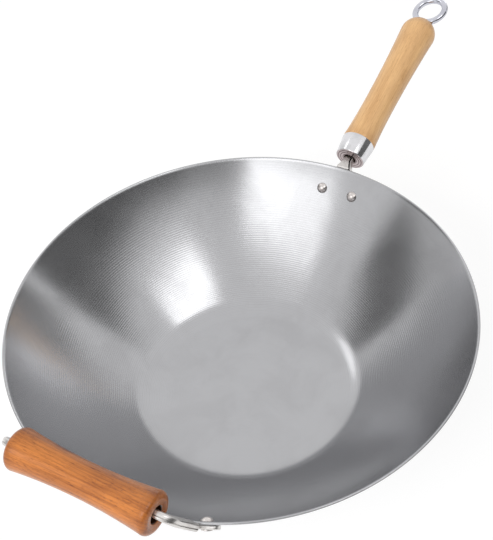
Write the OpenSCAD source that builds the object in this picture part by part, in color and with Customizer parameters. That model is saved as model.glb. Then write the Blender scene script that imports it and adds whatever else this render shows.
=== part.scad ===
// Carbon steel wok with a flat base, a long wooden handle and a wooden helper grip.
// Millimetres. The origin is the centre of the base's underside, +X runs towards the
// long handle and +Z is up, so the wok stands on z = 0.

/* [Bowl] */
// Outer diameter of the rim
rim_d = 360; // [300:2:440]
// Height from the underside of the base to the top of the rim
bowl_h = 95; // [80:1:120]
// Diameter of the flat part of the base
base_d = 150; // [120:2:180]
// Thickness of the steel sheet
sheet_t = 1.8; // [1.2:0.1:2.4]
// Radius of the wall's sweep, seen in section
wall_r = 345; // [300:5:600]
// Radius of the bend between base and wall
knuckle_r = 32; // [20:1:40]

/* [Long handle] */
// Rise of the handle above level
handle_rise = 14.6; // [0:0.2:30]
// Distance from the rim out to the front face of the ferrule
ferrule_gap = 12.2; // [10:0.2:30]
// Height of the handle's axis above the rim, at the front face of the ferrule
ferrule_lift = 0.6; // [-3:0.1:6]
// Length of the ferrule
ferrule_l = 18; // [12:1:30]
// Diameter of the ferrule at its front face
ferrule_front_d = 25.6; // [20:0.2:30]
// Thickness of the ferrule's sheet
ferrule_t = 0.8; // [0.5:0.1:1.2]
// Length of the wooden grip, from the ferrule to the seat of the hanging loop
grip_l = 141; // [110:1:200]
// Diameter of the wooden grip where it meets the ferrule
grip_front_d = 29.2; // [24:0.2:34]
// Diameter of the wooden grip at its waist
grip_waist_d = 26.6; // [22:0.2:30]
// Diameter of the wooden grip's rounded end
grip_end_d = 31.8; // [28:0.2:40]
// Distance from the ferrule to the waist
grip_waist_x = 42; // [30:1:80]
// Diameter of the flat seat at the end of the grip
grip_seat_d = 18.6; // [12:0.2:24]

/* [Tie bolt and hanging loop] */
// Diameter of the long bolt through the wooden grip
bolt_d = 5; // [4:0.5:6]
// Outer diameter of the hanging loop
loop_d = 33; // [24:0.5:40]
// Wire diameter of the hanging loop
loop_wire_d = 5.8; // [4:0.2:7]
// Turn of the hanging loop about the handle, from level
loop_turn = -9; // [-90:1:90]
// Length of the threaded barrel that the bolt screws into
barrel_l = 16; // [10:1:24]
// Diameter of the threaded barrel
barrel_d = 10; // [8:0.5:12]

/* [Stem] */
// Width of the folded stem where it enters the ferrule
stem_w = 8; // [7:0.5:10]
// Height of the folded stem where it enters the ferrule
stem_h = 6; // [5:0.5:8]
// Width of the folded stem where it spreads into its foot
stem_root_w = 15; // [10:0.5:20]
// Diameter of the ferrule's hole for the stem
stem_hole_d = 11; // [9:0.2:14]
// Thickness of the stem's sheet
stem_t = 1.5; // [1:0.1:2]
// Width of the foot, round the bowl
foot_w = 46; // [36:1:60]
// Height of the foot, down the wall
foot_h = 34; // [26:1:44]
// Distance between the two rivets of the foot
stem_rivet_gap = 28; // [20:1:36]
// Distance from the rim down the wall to those rivets
stem_rivet_drop = 20; // [16:1:26]

/* [Helper handle] */
// Length of the wooden helper grip
helper_l = 112; // [80:1:130]
// Diameter of the helper grip at its ends
helper_end_d = 30.4; // [26:0.2:36]
// Diameter of the helper grip at its waist
helper_waist_d = 24.2; // [20:0.2:30]
// Rounding of the helper grip's end edges
helper_edge_r = 3; // [2:0.5:5]
// Bore of the helper grip
helper_bore_d = 12; // [11:0.5:14]
// Distance of the helper grip's axis from the rim, outwards
helper_out = 7.7; // [4:0.1:20]
// Height of the helper grip's axis above the rim
helper_up = 32.9; // [24:0.1:45]
// Width of the folded strap through the helper grip
strap_w = 9.6; // [8:0.1:10.5]
// Thickness of the folded strap
strap_h = 5.6; // [5:0.1:7]
// Thickness of the strap's sheet
strap_t = 1.6; // [1:0.1:2]
// Distance between the helper handle's two rivets, straight across
helper_rivet_gap = 138; // [110:1:170]
// Distance from the rim down the wall to those rivets
helper_rivet_drop = 9; // [7:0.5:14]
// Length of the strap's flattened foot past its bend
helper_foot_l = 14; // [12:1:24]

/* [Rivets] */
// Diameter of a rivet's shank
rivet_d = 5; // [4:0.5:6]
// Diameter of a rivet's domed head inside the bowl
rivet_head_d = 9; // [8:0.5:14]
// Height of a rivet's domed head
rivet_head_h = 2.6; // [1.5:0.1:4]
// Diameter of the upset end outside
rivet_tail_d = 8; // [6:0.5:12]
// Height of the upset end
rivet_tail_h = 1.2; // [0.8:0.1:2]

/* [Hidden] */
$fn = 96;

// Clearances
rivet_fit = 0.03;    // round a shank, on the radius
seat_gap = 0.06;     // between two pieces that are drawn tight together
running_fit = 0.08;  // round the bolt in its barrel, on the radius
loop_gap = 0.3;      // between the hanging loop and its seat
cut = 1;             // how far a cutting shape runs past what it cuts
sliver = 0.05;       // thickness of the end slices that a blend is drawn over

// Section of the bowl. Its middle line runs out along the flat base, turns up round the
// knuckle and follows the wall's sweep to the rim; [r, z] points.
rim_mid = [rim_d / 2 - sheet_t / 2, bowl_h - sheet_t / 2];
knuckle_c = [base_d / 2, sheet_t / 2 + knuckle_r];
wall_c = inner_meet(rim_mid, wall_r, knuckle_c, wall_r - knuckle_r);
rim_slope = atan2(rim_mid[0] - wall_c[0], wall_c[1] - rim_mid[1]);
knuckle_slope = atan2(knuckle_c[0] - wall_c[0], wall_c[1] - knuckle_c[1]);
outer_side = sheet_t / 2;

// The point where circle p, rp meets circle q, rq, on the bowl's side of the line p to q.
function inner_meet(p, rp, q, rq) =
    let (
        d = norm(q - p),
        u = (q - p) / d,
        a = (d * d + rp * rp - rq * rq) / (2 * d),
        h = sqrt(rp * rp - a * a)
    ) p + a * u + h * [u[1], -u[0]];

// Slope of the wall at a distance down from the rim, and the middle line's point there.
function slope_at(drop) = rim_slope - drop / wall_r * 180 / PI;
function wall_at(drop) = wall_c + wall_r * [sin(slope_at(drop)), -cos(slope_at(drop))];

// Places children on the wall's middle line: z outwards through the sheet, x down the wall.
module on_wall(az, drop) {
    rotate([0, 0, az]) translate([wall_at(drop)[0], 0, wall_at(drop)[1]])
        rotate([0, 180 - slope_at(drop), 0]) children();
}

// A ring sector between two radii and two slopes, counted from straight down.
module arc_band(centre, r_in, r_out, from, to) {
    far = 2 * r_out;
    mid = (from + to) / 2;
    translate(centre) intersection() {
        difference() {
            circle(r_out, $fn = 720);
            circle(r_in, $fn = 720);
        }
        polygon([
            [0, 0], far * [sin(from), -cos(from)],
            far * [sin(mid), -cos(mid)], far * [sin(to), -cos(to)]
        ]);
    }
}

// A layer that follows the wall, from one distance off its middle line to another.
module wall_layer(az, spread, near, far, depth) {
    rotate([0, 0, az - spread / 2]) rotate_extrude(angle = spread, $fn = 360)
        arc_band(wall_c, wall_r + near, wall_r + far, slope_at(depth), slope_at(0));
}

// Everything within the bowl's outer face, for trimming what sits against the wall.
module bowl_body(az, spread, off, over) {
    rotate([0, 0, az - spread / 2]) rotate_extrude(angle = spread, $fn = 360)
        arc_band(wall_c, wall_r - 4 * sheet_t, wall_r + off, knuckle_slope, rim_slope + over);
}

module rounded_rect(w, h, r) {
    square([w - 2 * r, h], center = true);
    square([w, h - 2 * r], center = true);
    for (x = [-1, 1], y = [-1, 1])
        translate([x * (w / 2 - r), y * (h / 2 - r)]) circle(r, $fn = 32);
}

// ---------------------------------------------------------------- bowl and its rivets

module wok_bowl() {
    color([0.55, 0.55, 0.56]) difference() {
        rotate_extrude($fn = 360) {
            square([base_d / 2, sheet_t]);
            arc_band(knuckle_c, knuckle_r - sheet_t / 2, knuckle_r + sheet_t / 2,
                0, knuckle_slope);
            arc_band(wall_c, wall_r - sheet_t / 2, wall_r + sheet_t / 2,
                knuckle_slope, rim_slope);
            translate(rim_mid) circle(sheet_t / 2, $fn = 24);
        }
        at_stem_rivets() rivet_hole();
        at_helper_rivets() rivet_hole();
    }
}

module rivet_hole() {
    cylinder(r = rivet_d / 2 + rivet_fit, h = 20, center = true, $fn = 48);
}

// A rivet on the wall: domed head inside the bowl, upset end on what it holds.
module rivet(grip_t) {
    inside = -outer_side - seat_gap - 0.05;
    outside = outer_side + seat_gap + grip_t + seat_gap;
    dome_r = (pow(rivet_head_d / 2, 2) + pow(rivet_head_h, 2)) / (2 * rivet_head_h);
    translate([0, 0, inside - rivet_head_h / 2])
        cylinder(d = rivet_d, h = outside - inside + (rivet_head_h + rivet_tail_h) / 2, $fn = 48);
    intersection() {
        translate([0, 0, inside - rivet_head_h + dome_r]) sphere(dome_r, $fn = 96);
        translate([0, 0, inside - rivet_head_h])
            cylinder(d = rivet_head_d + cut, h = rivet_head_h);
    }
    translate([0, 0, outside]) cylinder(d = rivet_tail_d, h = rivet_tail_h, $fn = 48);
}

stem_rivet_turn = asin(stem_rivet_gap / 2 / wall_at(stem_rivet_drop)[0]);
helper_rivet_turn = asin(helper_rivet_gap / 2 / wall_at(helper_rivet_drop)[0]);

module at_stem_rivets() {
    for (side = [-1, 1]) on_wall(side * stem_rivet_turn, stem_rivet_drop) children();
}

module at_helper_rivets() {
    for (side = [-1, 1]) on_wall(180 + side * helper_rivet_turn, helper_rivet_drop) children();
}

module stem_rivets() {
    color([0.75, 0.75, 0.77]) at_stem_rivets() rivet(stem_t);
}

module helper_rivets() {
    color([0.8, 0.8, 0.82]) at_helper_rivets() rivet(foot_gap - outer_side + helper_foot_t);
}

// ---------------------------------------------------------------- long handle

// Places children on the handle's axis: x out along it from the ferrule's front face.
module on_handle() {
    translate([rim_d / 2 + ferrule_gap, 0, bowl_h + ferrule_lift])
        rotate([0, -handle_rise, 0]) children();
}

// Turns a shape drawn round z onto the handle's axis.
module along_handle() {
    on_handle() rotate([0, 90, 0]) children();
}

stem_in = 9;                                  // how far the stem reaches into the ferrule
grip_x = ferrule_l + seat_gap;                // where the bare wood starts
seat_x = grip_x + grip_l;                     // where the hanging loop sits
grip_crown = sqrt(pow(grip_end_d / 2, 2) - pow(grip_seat_d / 2, 2));
grip_wide_x = seat_x - grip_crown;            // centre of the rounded end
tenon_gap = 0.1;                              // between the wood and the ferrule's inside
stem_x0 = -ferrule_gap - 6;                   // inside the wall, trimmed off there
slit_w = 0.8;                                 // open seam of a folded sheet

// One slice of the folded stem, square to the handle's axis.
module stem_slice(x, w, h, r, up) {
    translate([x, 0, up]) rotate([90, 0, 90])
        linear_extrude(sliver) rounded_rect(w, h, r);
}

// The folded part of the stem: a flattened tube that spreads towards the wall.
module stem_tube(shrink) {
    r = max(2 - shrink, 0.5);
    over = shrink > 0 ? cut : 0;
    hull() {
        stem_slice(stem_x0, stem_root_w - 2 * shrink, 12 - 2 * shrink, r, -3);
        stem_slice(-4, stem_w - 2 * shrink, stem_h - 2 * shrink, r, 0);
    }
    translate([-4, 0, 0]) rotate([90, 0, 90])
        linear_extrude(4 + stem_in + over)
            rounded_rect(stem_w - 2 * shrink, stem_h - 2 * shrink, r);
}

module stem_foot() {
    intersection() {
        wall_layer(0, 30, outer_side + seat_gap, outer_side + seat_gap + stem_t, 60);
        on_wall(0, 4 + foot_h / 2)
            linear_extrude(40, center = true) rounded_rect(foot_h, foot_w, 9);
    }
}

module handle_stem() {
    color([0.78, 0.78, 0.8]) difference() {
        union() {
            stem_foot();
            on_handle() stem_tube(0);
        }
        on_handle() {
            stem_tube(stem_t);
            translate([-30, -stem_w / 2 - cut, stem_h / 2 - stem_t - slit_w / 2])
                cube([26 + stem_in + 40, stem_t + cut + 0.4, slit_w]);
        }
        bowl_body(0, 40, outer_side + seat_gap, 3);
        at_stem_rivets() rivet_hole();
    }
}

// The threaded barrel on the stem's end, hidden in the wood.
module stem_barrel() {
    color([0.6, 0.6, 0.62]) along_handle() translate([0, 0, stem_in + seat_gap])
        difference() {
            cylinder(d = barrel_d, h = barrel_l, $fn = 64);
            translate([0, 0, -cut])
                cylinder(r = bolt_d / 2 + running_fit, h = barrel_l + 2 * cut, $fn = 64);
        }
}

// Section of the ferrule, [r along x, axis along y]: a tapered cup with ringed front.
module ferrule_outline(off) {
    polygon([
        [0, off], [ferrule_front_d / 2 - off - 0.8, off], [ferrule_front_d / 2 - off, 0.8 + off],
        [grip_front_d / 2 - off, ferrule_l], [0, ferrule_l]
    ]);
}

module handle_ferrule() {
    ring_pitch = 2.2;
    color([0.88, 0.88, 0.9]) difference() {
        along_handle() rotate_extrude($fn = 128) difference() {
            ferrule_outline(0);
            translate([0, 0.001]) ferrule_outline(ferrule_t);
            for (i = [0:2]) translate([6.6 + i * ring_pitch, 0]) circle(0.35, $fn = 24);
        }
        along_handle() translate([0, 0, -cut])
            cylinder(d = stem_hole_d, h = ferrule_t + 2 * cut, $fn = 64);
    }
}

// Half outline of the long grip: waisted in front, swelling to a rounded end.
module handle_grip_outline() {
    front_r = bow_r(grip_waist_x, (grip_front_d - grip_waist_d) / 2);
    rear_l = grip_wide_x - grip_x - grip_waist_x;
    rear_r = bow_r(rear_l, (grip_end_d - grip_waist_d) / 2);
    waist = grip_waist_d / 2;
    difference() {
        translate([0, grip_x]) square([grip_front_d / 2, grip_waist_x]);
        translate([waist + front_r, grip_x + grip_waist_x]) circle(front_r, $fn = 1440);
    }
    difference() {
        translate([0, grip_x + grip_waist_x]) square([grip_end_d / 2, rear_l]);
        translate([waist + rear_r, grip_x + grip_waist_x]) circle(rear_r, $fn = 1440);
    }
    intersection() {
        translate([0, grip_wide_x]) circle(grip_end_d / 2, $fn = 128);
        translate([0, grip_wide_x]) square([grip_end_d, grip_crown]);
    }
}

// Radius of the arc that leaves a line flat and rises by rise over a length run.
function bow_r(run, rise) = (run * run + rise * rise) / (2 * rise);

module handle_grip() {
    pocket_d = barrel_d + 0.6;
    pocket_l = stem_in + barrel_l + 3;
    bore_d = bolt_d + 1;
    color([0.87, 0.7, 0.47]) along_handle() difference() {
        rotate_extrude($fn = 128) {
            handle_grip_outline();
            difference() {
                translate([0, tenon_gap]) ferrule_outline(ferrule_t + tenon_gap);
                translate([0, grip_x]) square([grip_front_d, cut]);
            }
        }
        translate([0, 0, -cut]) cylinder(d = pocket_d, h = pocket_l + cut, $fn = 64);
        cylinder(d = bore_d, h = seat_x + cut, $fn = 64);
    }
}

// The long bolt through the grip, bent into the hanging loop at its end.
module tie_bolt_loop() {
    mid_r = (loop_d - loop_wire_d) / 2;
    loop_x = seat_x + loop_gap + loop_d / 2;
    bolt_x0 = stem_in + 3;
    color([0.85, 0.85, 0.87]) along_handle() {
        translate([0, 0, bolt_x0])
            cylinder(d = bolt_d, h = loop_x - mid_r - bolt_x0, $fn = 64);
        translate([0, 0, loop_x]) rotate([0, 90, loop_turn])
            rotate_extrude($fn = 96) translate([mid_r, 0]) circle(d = loop_wire_d, $fn = 48);
    }
}

// ---------------------------------------------------------------- helper handle

helper_c = [-(rim_d / 2 + helper_out), 0, bowl_h + helper_up];
strap_round = 2;                                 // rounding of the strap's edges
helper_foot_t = 2 * strap_t;                     // the strap is folded flat there
foot_w2 = strap_w + 2;                           // and wider
foot_in = 5;                                     // from the rivet in to the foot's bend
foot_gap = outer_side + 0.3;                     // a flat foot stands off the round wall
// The leg's middle line is aimed at a point this far off the wall's middle line, so that
// it passes just outside the rim. The strap lies in a plane that leans out to do that.
leg_off = outer_side + strap_h / 2;
leg_slope = slope_at(helper_rivet_drop);
leg_r = wall_at(helper_rivet_drop)[0] + leg_off * sin(leg_slope);
leg_az = helper_rivet_turn - foot_in / leg_r * 180 / PI;
leg_end = [-leg_r * cos(leg_az), leg_r * sin(leg_az),
    wall_at(helper_rivet_drop)[1] - leg_off * cos(leg_slope)];
// The grip hangs on the strap, so the strap's middle line is above the grip's axis.
strap_corner = norm([strap_w / 2 - strap_round, strap_h / 2 - strap_round]) + strap_round;
strap_c = helper_c + [0, 0, helper_bore_d / 2 - strap_corner - seat_gap * 3];
strap_lean = atan2(leg_end[0] - strap_c[0], strap_c[2] - leg_end[2]);
strap_drop = norm([leg_end[0] - strap_c[0], strap_c[2] - leg_end[2]]);
bend_r = strap_w / 2 + 4;                        // of the strap's middle line
strap_out = helper_l / 2 + 0.5;                  // where the strap's bend starts
// The leg leaves the bend on the line that reaches its end.
leg_aim = [leg_end[1] - strap_out, bend_r - strap_drop];
leg_l = sqrt(pow(norm(leg_aim), 2) - pow(bend_r, 2));
leg_turn = atan2(leg_aim[0], leg_aim[1]) - atan2(leg_l, bend_r);
crush_l = 14;                                    // length over which the leg flattens

// Places children in the strap's plane: x along the grip, z up, y towards the bowl.
module in_strap_plane() {
    translate(strap_c) rotate([0, -strap_lean, 0]) rotate([0, 0, -90]) children();
}

// Section of the folded strap: x across it, y through it; the seam is on its outer edge.
// The legs are drawn a hair thicker than the bend that they start from.
module strap_section(hair) {
    difference() {
        rounded_rect(strap_w + 2 * hair, strap_h + 2 * hair, strap_round + hair);
        rounded_rect(strap_w - 2 * strap_t - 2 * hair, strap_h - 2 * strap_t - 2 * hair, 0.5);
        translate([strap_w / 2 - strap_t - 0.4, strap_h / 2 - strap_t - slit_w / 2 + hair])
            square([strap_t + cut + 0.4, slit_w - 2 * hair]);
    }
}

// Places children at a distance along the leg, z down it and x outwards.
module on_leg(run) {
    translate([strap_out, 0, -bend_r]) rotate([-90, 0, 0]) rotate([0, 0, leg_turn - 90])
        translate([bend_r, 0, 0]) rotate([-90, 0, 0]) translate([0, 0, run]) children();
}

// One half of the strap: along the grip's bore, round the bend and down the leg.
module strap_half() {
    rotate([90, 0, 90]) linear_extrude(strap_out) rotate(90) strap_section(0);
    translate([strap_out, 0, -bend_r]) rotate([-90, 0, 0])
        rotate([0, 0, -90]) rotate_extrude(angle = leg_turn, $fn = 96)
            translate([bend_r, 0]) mirror([0, 1]) strap_section(0);
    on_leg(0) linear_extrude(leg_l - crush_l) strap_section(0.03);
}

// Places children on the foot, y round the bowl away from the grip.
module on_foot(side) {
    mirror([0, side > 0 ? 1 : 0, 0]) on_wall(180 - helper_rivet_turn, helper_rivet_drop)
        mirror([0, 1, 0]) children();
}

// Where the leg flattens and turns out along the wall, clear of the rim. Its two ends
// are a little wider than the leg and a little thinner than the foot.
module helper_crush(side) {
    step = 0.15;
    difference() {
        hull() {
            in_strap_plane() mirror([side > 0 ? 0 : 1, 0, 0]) on_leg(leg_l - crush_l - 0.5)
                linear_extrude(sliver)
                    rounded_rect(strap_w + 2 * step, strap_h + 2 * step, strap_round);
            on_foot(side) translate([0, 1 - foot_in, foot_gap + helper_foot_t / 2])
                rotate([90, 0, 0]) linear_extrude(sliver)
                    rounded_rect(foot_w2 - 4 * step, helper_foot_t - 2 * step, 1);
        }
        bowl_body(180 + side * leg_az, 20, outer_side + step, 0.4);
    }
}

// The strap's end, pressed flat and lying along the wall under its rivet.
module helper_foot(side) {
    on_foot(side) translate([0, helper_foot_l / 2 - foot_in, foot_gap])
        linear_extrude(helper_foot_t) rounded_rect(foot_w2, helper_foot_l, 4);
}

module helper_bracket() {
    color([0.8, 0.8, 0.82]) difference() {
        union() {
            for (side = [-1, 1]) {
                helper_crush(side);
                helper_foot(side);
            }
            in_strap_plane() {
                strap_half();
                mirror([1, 0, 0]) strap_half();
            }
        }
        at_helper_rivets() rivet_hole();
    }
}

module helper_grip() {
    half_l = helper_l / 2;
    side_r = bow_r(half_l - helper_edge_r, (helper_end_d - helper_waist_d) / 2);
    color([0.78, 0.5, 0.26]) translate(helper_c + [0, half_l, 0]) rotate([90, 0, 0]) difference() {
        rotate_extrude($fn = 128) difference() {
            union() {
                square([helper_end_d / 2 - helper_edge_r, helper_l], center = false);
                translate([0, helper_edge_r])
                    square([helper_end_d / 2, helper_l - 2 * helper_edge_r]);
                for (y = [helper_edge_r, helper_l - helper_edge_r])
                    translate([helper_end_d / 2 - helper_edge_r, y])
                        circle(helper_edge_r, $fn = 48);
            }
            translate([helper_waist_d / 2 + side_r, half_l]) circle(side_r, $fn = 720);
        }
        translate([0, 0, -cut]) cylinder(d = helper_bore_d, h = helper_l + 2 * cut, $fn = 64);
    }
}

// ---------------------------------------------------------------- nodes

wok_bowl();
handle_stem();
stem_rivets();
stem_barrel();
handle_ferrule();
handle_grip();
tie_bolt_loop();
helper_bracket();
helper_rivets();
helper_grip();
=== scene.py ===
import math

import bmesh
import bpy
from mathutils import Matrix, Vector


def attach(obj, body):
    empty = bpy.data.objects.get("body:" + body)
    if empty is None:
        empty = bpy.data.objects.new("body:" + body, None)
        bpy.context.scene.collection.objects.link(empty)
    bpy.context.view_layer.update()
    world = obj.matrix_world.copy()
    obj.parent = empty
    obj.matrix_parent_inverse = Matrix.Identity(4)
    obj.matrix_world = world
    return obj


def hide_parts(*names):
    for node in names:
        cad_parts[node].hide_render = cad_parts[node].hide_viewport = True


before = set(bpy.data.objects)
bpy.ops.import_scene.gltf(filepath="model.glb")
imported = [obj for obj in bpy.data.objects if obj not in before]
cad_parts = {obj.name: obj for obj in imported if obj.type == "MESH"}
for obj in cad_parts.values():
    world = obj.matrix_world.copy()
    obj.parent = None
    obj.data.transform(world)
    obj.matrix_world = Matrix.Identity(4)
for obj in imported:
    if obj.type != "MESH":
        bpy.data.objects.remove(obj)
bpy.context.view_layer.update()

MM = 0.001

# Sizes in millimetres and degrees, as in the part's source. A point of the bowl's section
# is (distance from the middle, height).
RIM_MID = (179.1, 94.1)
RIM_SLOPE = 55.8
WALL_C = (-106.154, 288.149)
WALL_R = 345.0
KNUCKLE_C = (75.0, 32.9)
KNUCKLE_R = 32.0
KNUCKLE_SLOPE = 35.4
BASE_RINGS = (20, 40, 58, 68)
HALF_SHEET = 0.9
SEAT_GAP = 0.06

# Rivets: the distance between a pair, and down the wall from the rim.
STEM_RIVET_GAP, STEM_RIVET_DROP = 28, 20
HELPER_RIVET_GAP, HELPER_RIVET_DROP = 138, 9
RIVET_R = 2.5
RIVET_HEAD_R, RIVET_HEAD_H = 4.5, 2.6
RIVET_TAIL_R, RIVET_TAIL_H = 4.0, 1.2

# Long handle; each x is a distance along its axis from the ferrule's front face.
HANDLE_RISE = 14.6
FERRULE_AT = (192.2, 0.0, 95.6)
FERRULE_L = 18
FERRULE_T = 0.8
FERRULE_RING_R = (6.6, 8.8, 11.0)
STEM_HOLE_R = 5.5
STEM_W, STEM_H = 8, 6
STEM_IN = 9.0
STEM_FOOT_W, STEM_FOOT_H = 46, 34
STEM_FOOT_T = 1.5
STEM_FOOT_CORNER = 9
STEM_FOOT_DROP = 21
GRIP_FRONT_X, GRIP_FRONT_R = 18.06, 14.6
GRIP_WAIST_X, GRIP_WAIST_R = 60.06, 13.3
GRIP_WIDE_X, GRIP_END_R = 146.16, 15.9
SEAT_X, SEAT_R = 159.06, 9.3
BOLT_X, BOLT_R = 12, 2.5
BOLT_HOLE_R = 3.0
POCKET_X, POCKET_R = 28, 5.3
LOOP_X, LOOP_R = 175.86, 13.6
LOOP_WIRE_R = 2.9
LOOP_TURN = -9.0

# Helper handle: its strap runs out to a bend at each side, down a leg and into a foot.
HELPER_C = (-187.7, 0.0, 127.9)
HELPER_HALF_L = 56.0
HELPER_END_R = 15.2
HELPER_WAIST_R = 12.1
HELPER_BORE_R = 6.0
STRAP_W, STRAP_H = 9.6, 5.6
STRAP_T = 1.6
STRAP_ROUND = 2
STRAP_OUT = 56.5
BEND_R = 8.8
CRUSH_L = 14.0
FOOT_IN = 5.0
FOOT_OUT = 5.0
FOOT_ROUND = 4
FOOT_W, FOOT_T = 11.6, 3.2
FOOT_GAP = 1.2

# What the rivets hold outside the bowl's sheet, with the gap before it.
STEM_CLAMP = SEAT_GAP + STEM_FOOT_T
HELPER_CLAMP = SEAT_GAP + FOOT_GAP - HALF_SHEET + FOOT_T


# ---------------------------------------------------------------- outlines


def arc(centre, radius, start, end, steps):
    """Points on an arc; the angles count from straight down towards +x."""
    points = []
    for i in range(steps + 1):
        a = math.radians(start + (end - start) * i / steps)
        points.append((centre[0] + radius * math.sin(a), centre[1] - radius * math.cos(a)))
    return points


def eased(corners, steps=4):
    """An open outline whose corners (x, y, easing radius) are rounded."""
    made = []
    for i, (x, y, ease) in enumerate(corners):
        if not ease or i in (0, len(corners) - 1):
            made.append((x, y))
            continue
        here = Vector((x, y))
        back = (Vector(corners[i - 1][:2]) - here).normalized()
        on = (Vector(corners[i + 1][:2]) - here).normalized()
        half = back.angle(on) / 2
        middle = here + (back + on).normalized() * (ease / math.sin(half))
        first = here + back * (ease / math.tan(half)) - middle
        sweep = first.angle_signed(here + on * (ease / math.tan(half)) - middle)
        for k in range(steps + 1):
            a = -sweep * k / steps
            made.append(
                (
                    middle.x + first.x * math.cos(a) - first.y * math.sin(a),
                    middle.y + first.x * math.sin(a) + first.y * math.cos(a),
                )
            )
    return made


def bow(run, rise):
    """Radius of the arc that leaves a line flat and rises by rise over a run."""
    return (run * run + rise * rise) / (2 * rise)


# ---------------------------------------------------------------- shaping

MERGE = 1e-7  # metres; points closer than this are one


def full_spin(bm, geom, steps):
    """Carries vertices and edges once round z and closes the shape they leave."""
    bmesh.ops.spin(
        bm,
        geom=geom,
        cent=(0, 0, 0),
        axis=(0, 0, 1),
        angle=2 * math.pi,
        steps=steps,
        use_merge=True,
    )
    bmesh.ops.remove_doubles(bm, verts=bm.verts, dist=MERGE)


def turned(profile, place, steps=128, closed=True):
    """Turns a profile of (along the axis, radius) points, in mm, round local z."""
    bm = bmesh.new()
    ring = [bm.verts.new((r * MM, 0, z * MM)) for z, r in profile]
    edges = [bm.edges.new(pair) for pair in zip(ring, ring[1:])]
    if closed:
        edges.append(bm.edges.new((ring[-1], ring[0])))
    full_spin(bm, ring + edges, steps)
    bmesh.ops.transform(bm, matrix=place, verts=bm.verts)
    return bm


def swept(rings, cap_start=True, cap_end=True):
    """Draws one closed ring of points through each of the next, all in mm."""
    bm = bmesh.new()
    verts = [bm.verts.new(p * MM) for p in rings[0]]
    edges = [bm.edges.new((v, verts[i - 1])) for i, v in enumerate(verts)]
    if cap_start:
        bm.faces.new(verts)
    for points in rings[1:]:
        grown = bmesh.ops.extrude_edge_only(bm, edges=edges)["geom"]
        fresh = {g for g in grown if isinstance(g, bmesh.types.BMVert)}
        moved = []
        for v in verts:
            twins = [e.other_vert(v) for e in v.link_edges if e.other_vert(v) in fresh]
            moved.append(min(twins, key=lambda twin: (twin.co - v.co).length))
        for v, p in zip(moved, points):
            v.co = p * MM
        verts = moved
        edges = [
            next(e for e in v.link_edges if e.other_vert(v) is verts[i - 1])
            for i, v in enumerate(verts)
        ]
    if cap_end:
        bm.faces.new(verts)
    return bm


def mesh_from(name, bm):
    """A mesh out of a bmesh, which is freed."""
    mesh = bpy.data.meshes.new(name)
    bm.to_mesh(mesh)
    bm.free()
    return mesh


def new_object(name, data):
    """An object in the scene, at the origin."""
    made = bpy.data.objects.new(name, data)
    bpy.context.scene.collection.objects.link(made)
    return made


def piece(name, bm, body, material, nodes, crease=32):
    """Finishes a mesh into a piece that rides on its body and stands for its CAD nodes.

    An edge that bends by more than crease degrees stays sharp.
    """
    bmesh.ops.remove_doubles(bm, verts=bm.verts, dist=MERGE)
    bmesh.ops.recalc_face_normals(bm, faces=bm.faces)
    for face in bm.faces:
        face.smooth = True
    for edge in bm.edges:
        if len(edge.link_faces) == 2 and edge.calc_face_angle(0) > math.radians(crease):
            edge.smooth = False
    mesh = mesh_from(name, bm)
    mesh.materials.append(material)
    made = new_object(name, mesh)
    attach(made, body)
    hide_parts(*nodes)


def joined(parts):
    """One mesh out of several, each freed."""
    whole = bmesh.new()
    for part in parts:
        mesh = mesh_from("part", part)
        whole.from_mesh(mesh)
        bpy.data.meshes.remove(mesh)
    return whole


# ---------------------------------------------------------------- places


def shift(x, y, z):
    """A move given in millimetres."""
    return Matrix.Translation((x * MM, y * MM, z * MM))


def turn(degrees, axis):
    """A turn about an axis."""
    return Matrix.Rotation(math.radians(degrees), 4, axis)


def in_mm(place):
    """The same place with its position in millimetres."""
    made = place.copy()
    made.translation = place.translation / MM
    return made


def direction(az, el):
    """A unit vector from an azimuth and an elevation, in degrees."""
    a, e = math.radians(az), math.radians(el)
    return Vector((math.cos(e) * math.cos(a), math.cos(e) * math.sin(a), math.sin(e)))


HANDLE = shift(*FERRULE_AT) @ turn(-HANDLE_RISE, "Y")
ALONG_HANDLE = HANDLE @ turn(90, "Y")


def wall_at(drop):
    """Slope of the wall and the point of its middle line at a distance from the rim."""
    slope = RIM_SLOPE - math.degrees(drop / WALL_R)
    a = math.radians(slope)
    return slope, WALL_C[0] + WALL_R * math.sin(a), WALL_C[1] - WALL_R * math.cos(a)


def on_wall(az, drop):
    """A place on the wall's middle line: z outwards through the sheet, x down the wall."""
    slope, r, z = wall_at(drop)
    return turn(az, "Z") @ shift(r, 0, z) @ turn(180 - slope, "Y")


def rivet_turn(gap, drop):
    """Angle round the bowl from the middle of a pair of rivets to either of them."""
    return math.degrees(math.asin(gap / 2 / wall_at(drop)[1]))


STEM_TURN = rivet_turn(STEM_RIVET_GAP, STEM_RIVET_DROP)
HELPER_TURN = rivet_turn(HELPER_RIVET_GAP, HELPER_RIVET_DROP)


# ---------------------------------------------------------------- material nodes


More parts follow.
